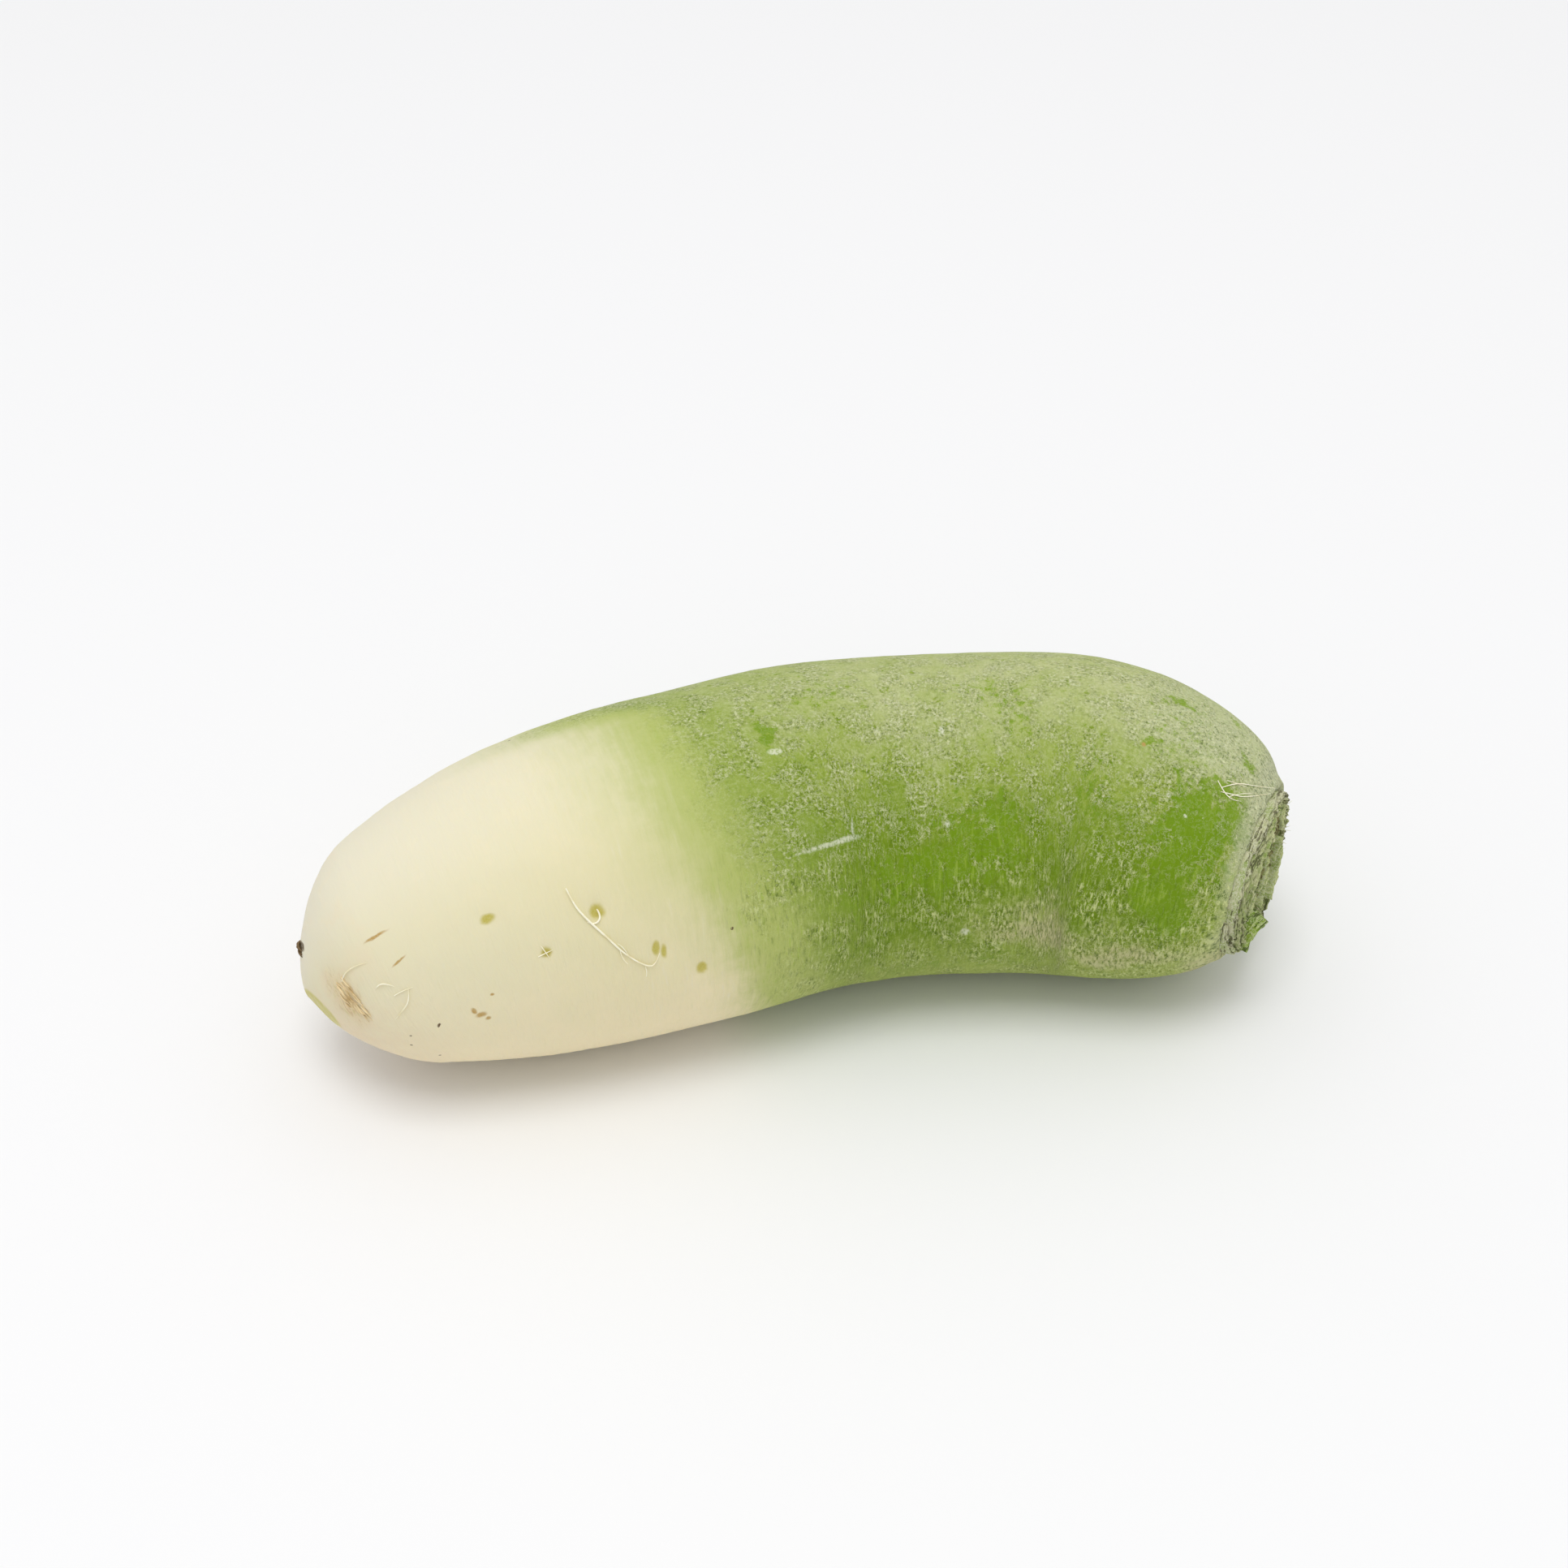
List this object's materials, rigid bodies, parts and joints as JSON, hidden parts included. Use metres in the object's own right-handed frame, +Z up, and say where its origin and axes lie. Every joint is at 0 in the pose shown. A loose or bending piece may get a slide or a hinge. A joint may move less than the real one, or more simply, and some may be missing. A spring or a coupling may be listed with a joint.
{
  "type": "green radish root",
  "caption": "Long, gently bowed radish root with a green shoulder and a white tail, its leaves trimmed to short stubs, lying on its side.",
  "frame": {"origin": "on the surface that the root rests on, under the middle of the whole seen from above", "axes": "+X along the root from its tail to its crown, +Z up, and the root bows towards +Y"},
  "size_m": [0.2148, 0.082, 0.0711],
  "materials": {
    "root_skin": "moist vegetable skin, green at the crown half and cream white at the tail, with a dull dusty bloom on the green",
    "dry_leaf_base": "dry, papery and dusty",
    "leaf_stalk": "green stalk with a paler fibrous cut"
  },
  "bodies": {
    "root": {"root_body": "root_skin", "dry_leaf_bases": "dry_leaf_base", "leaf_stalk_stubs": "leaf_stalk"}
  },
  "joints": []
}
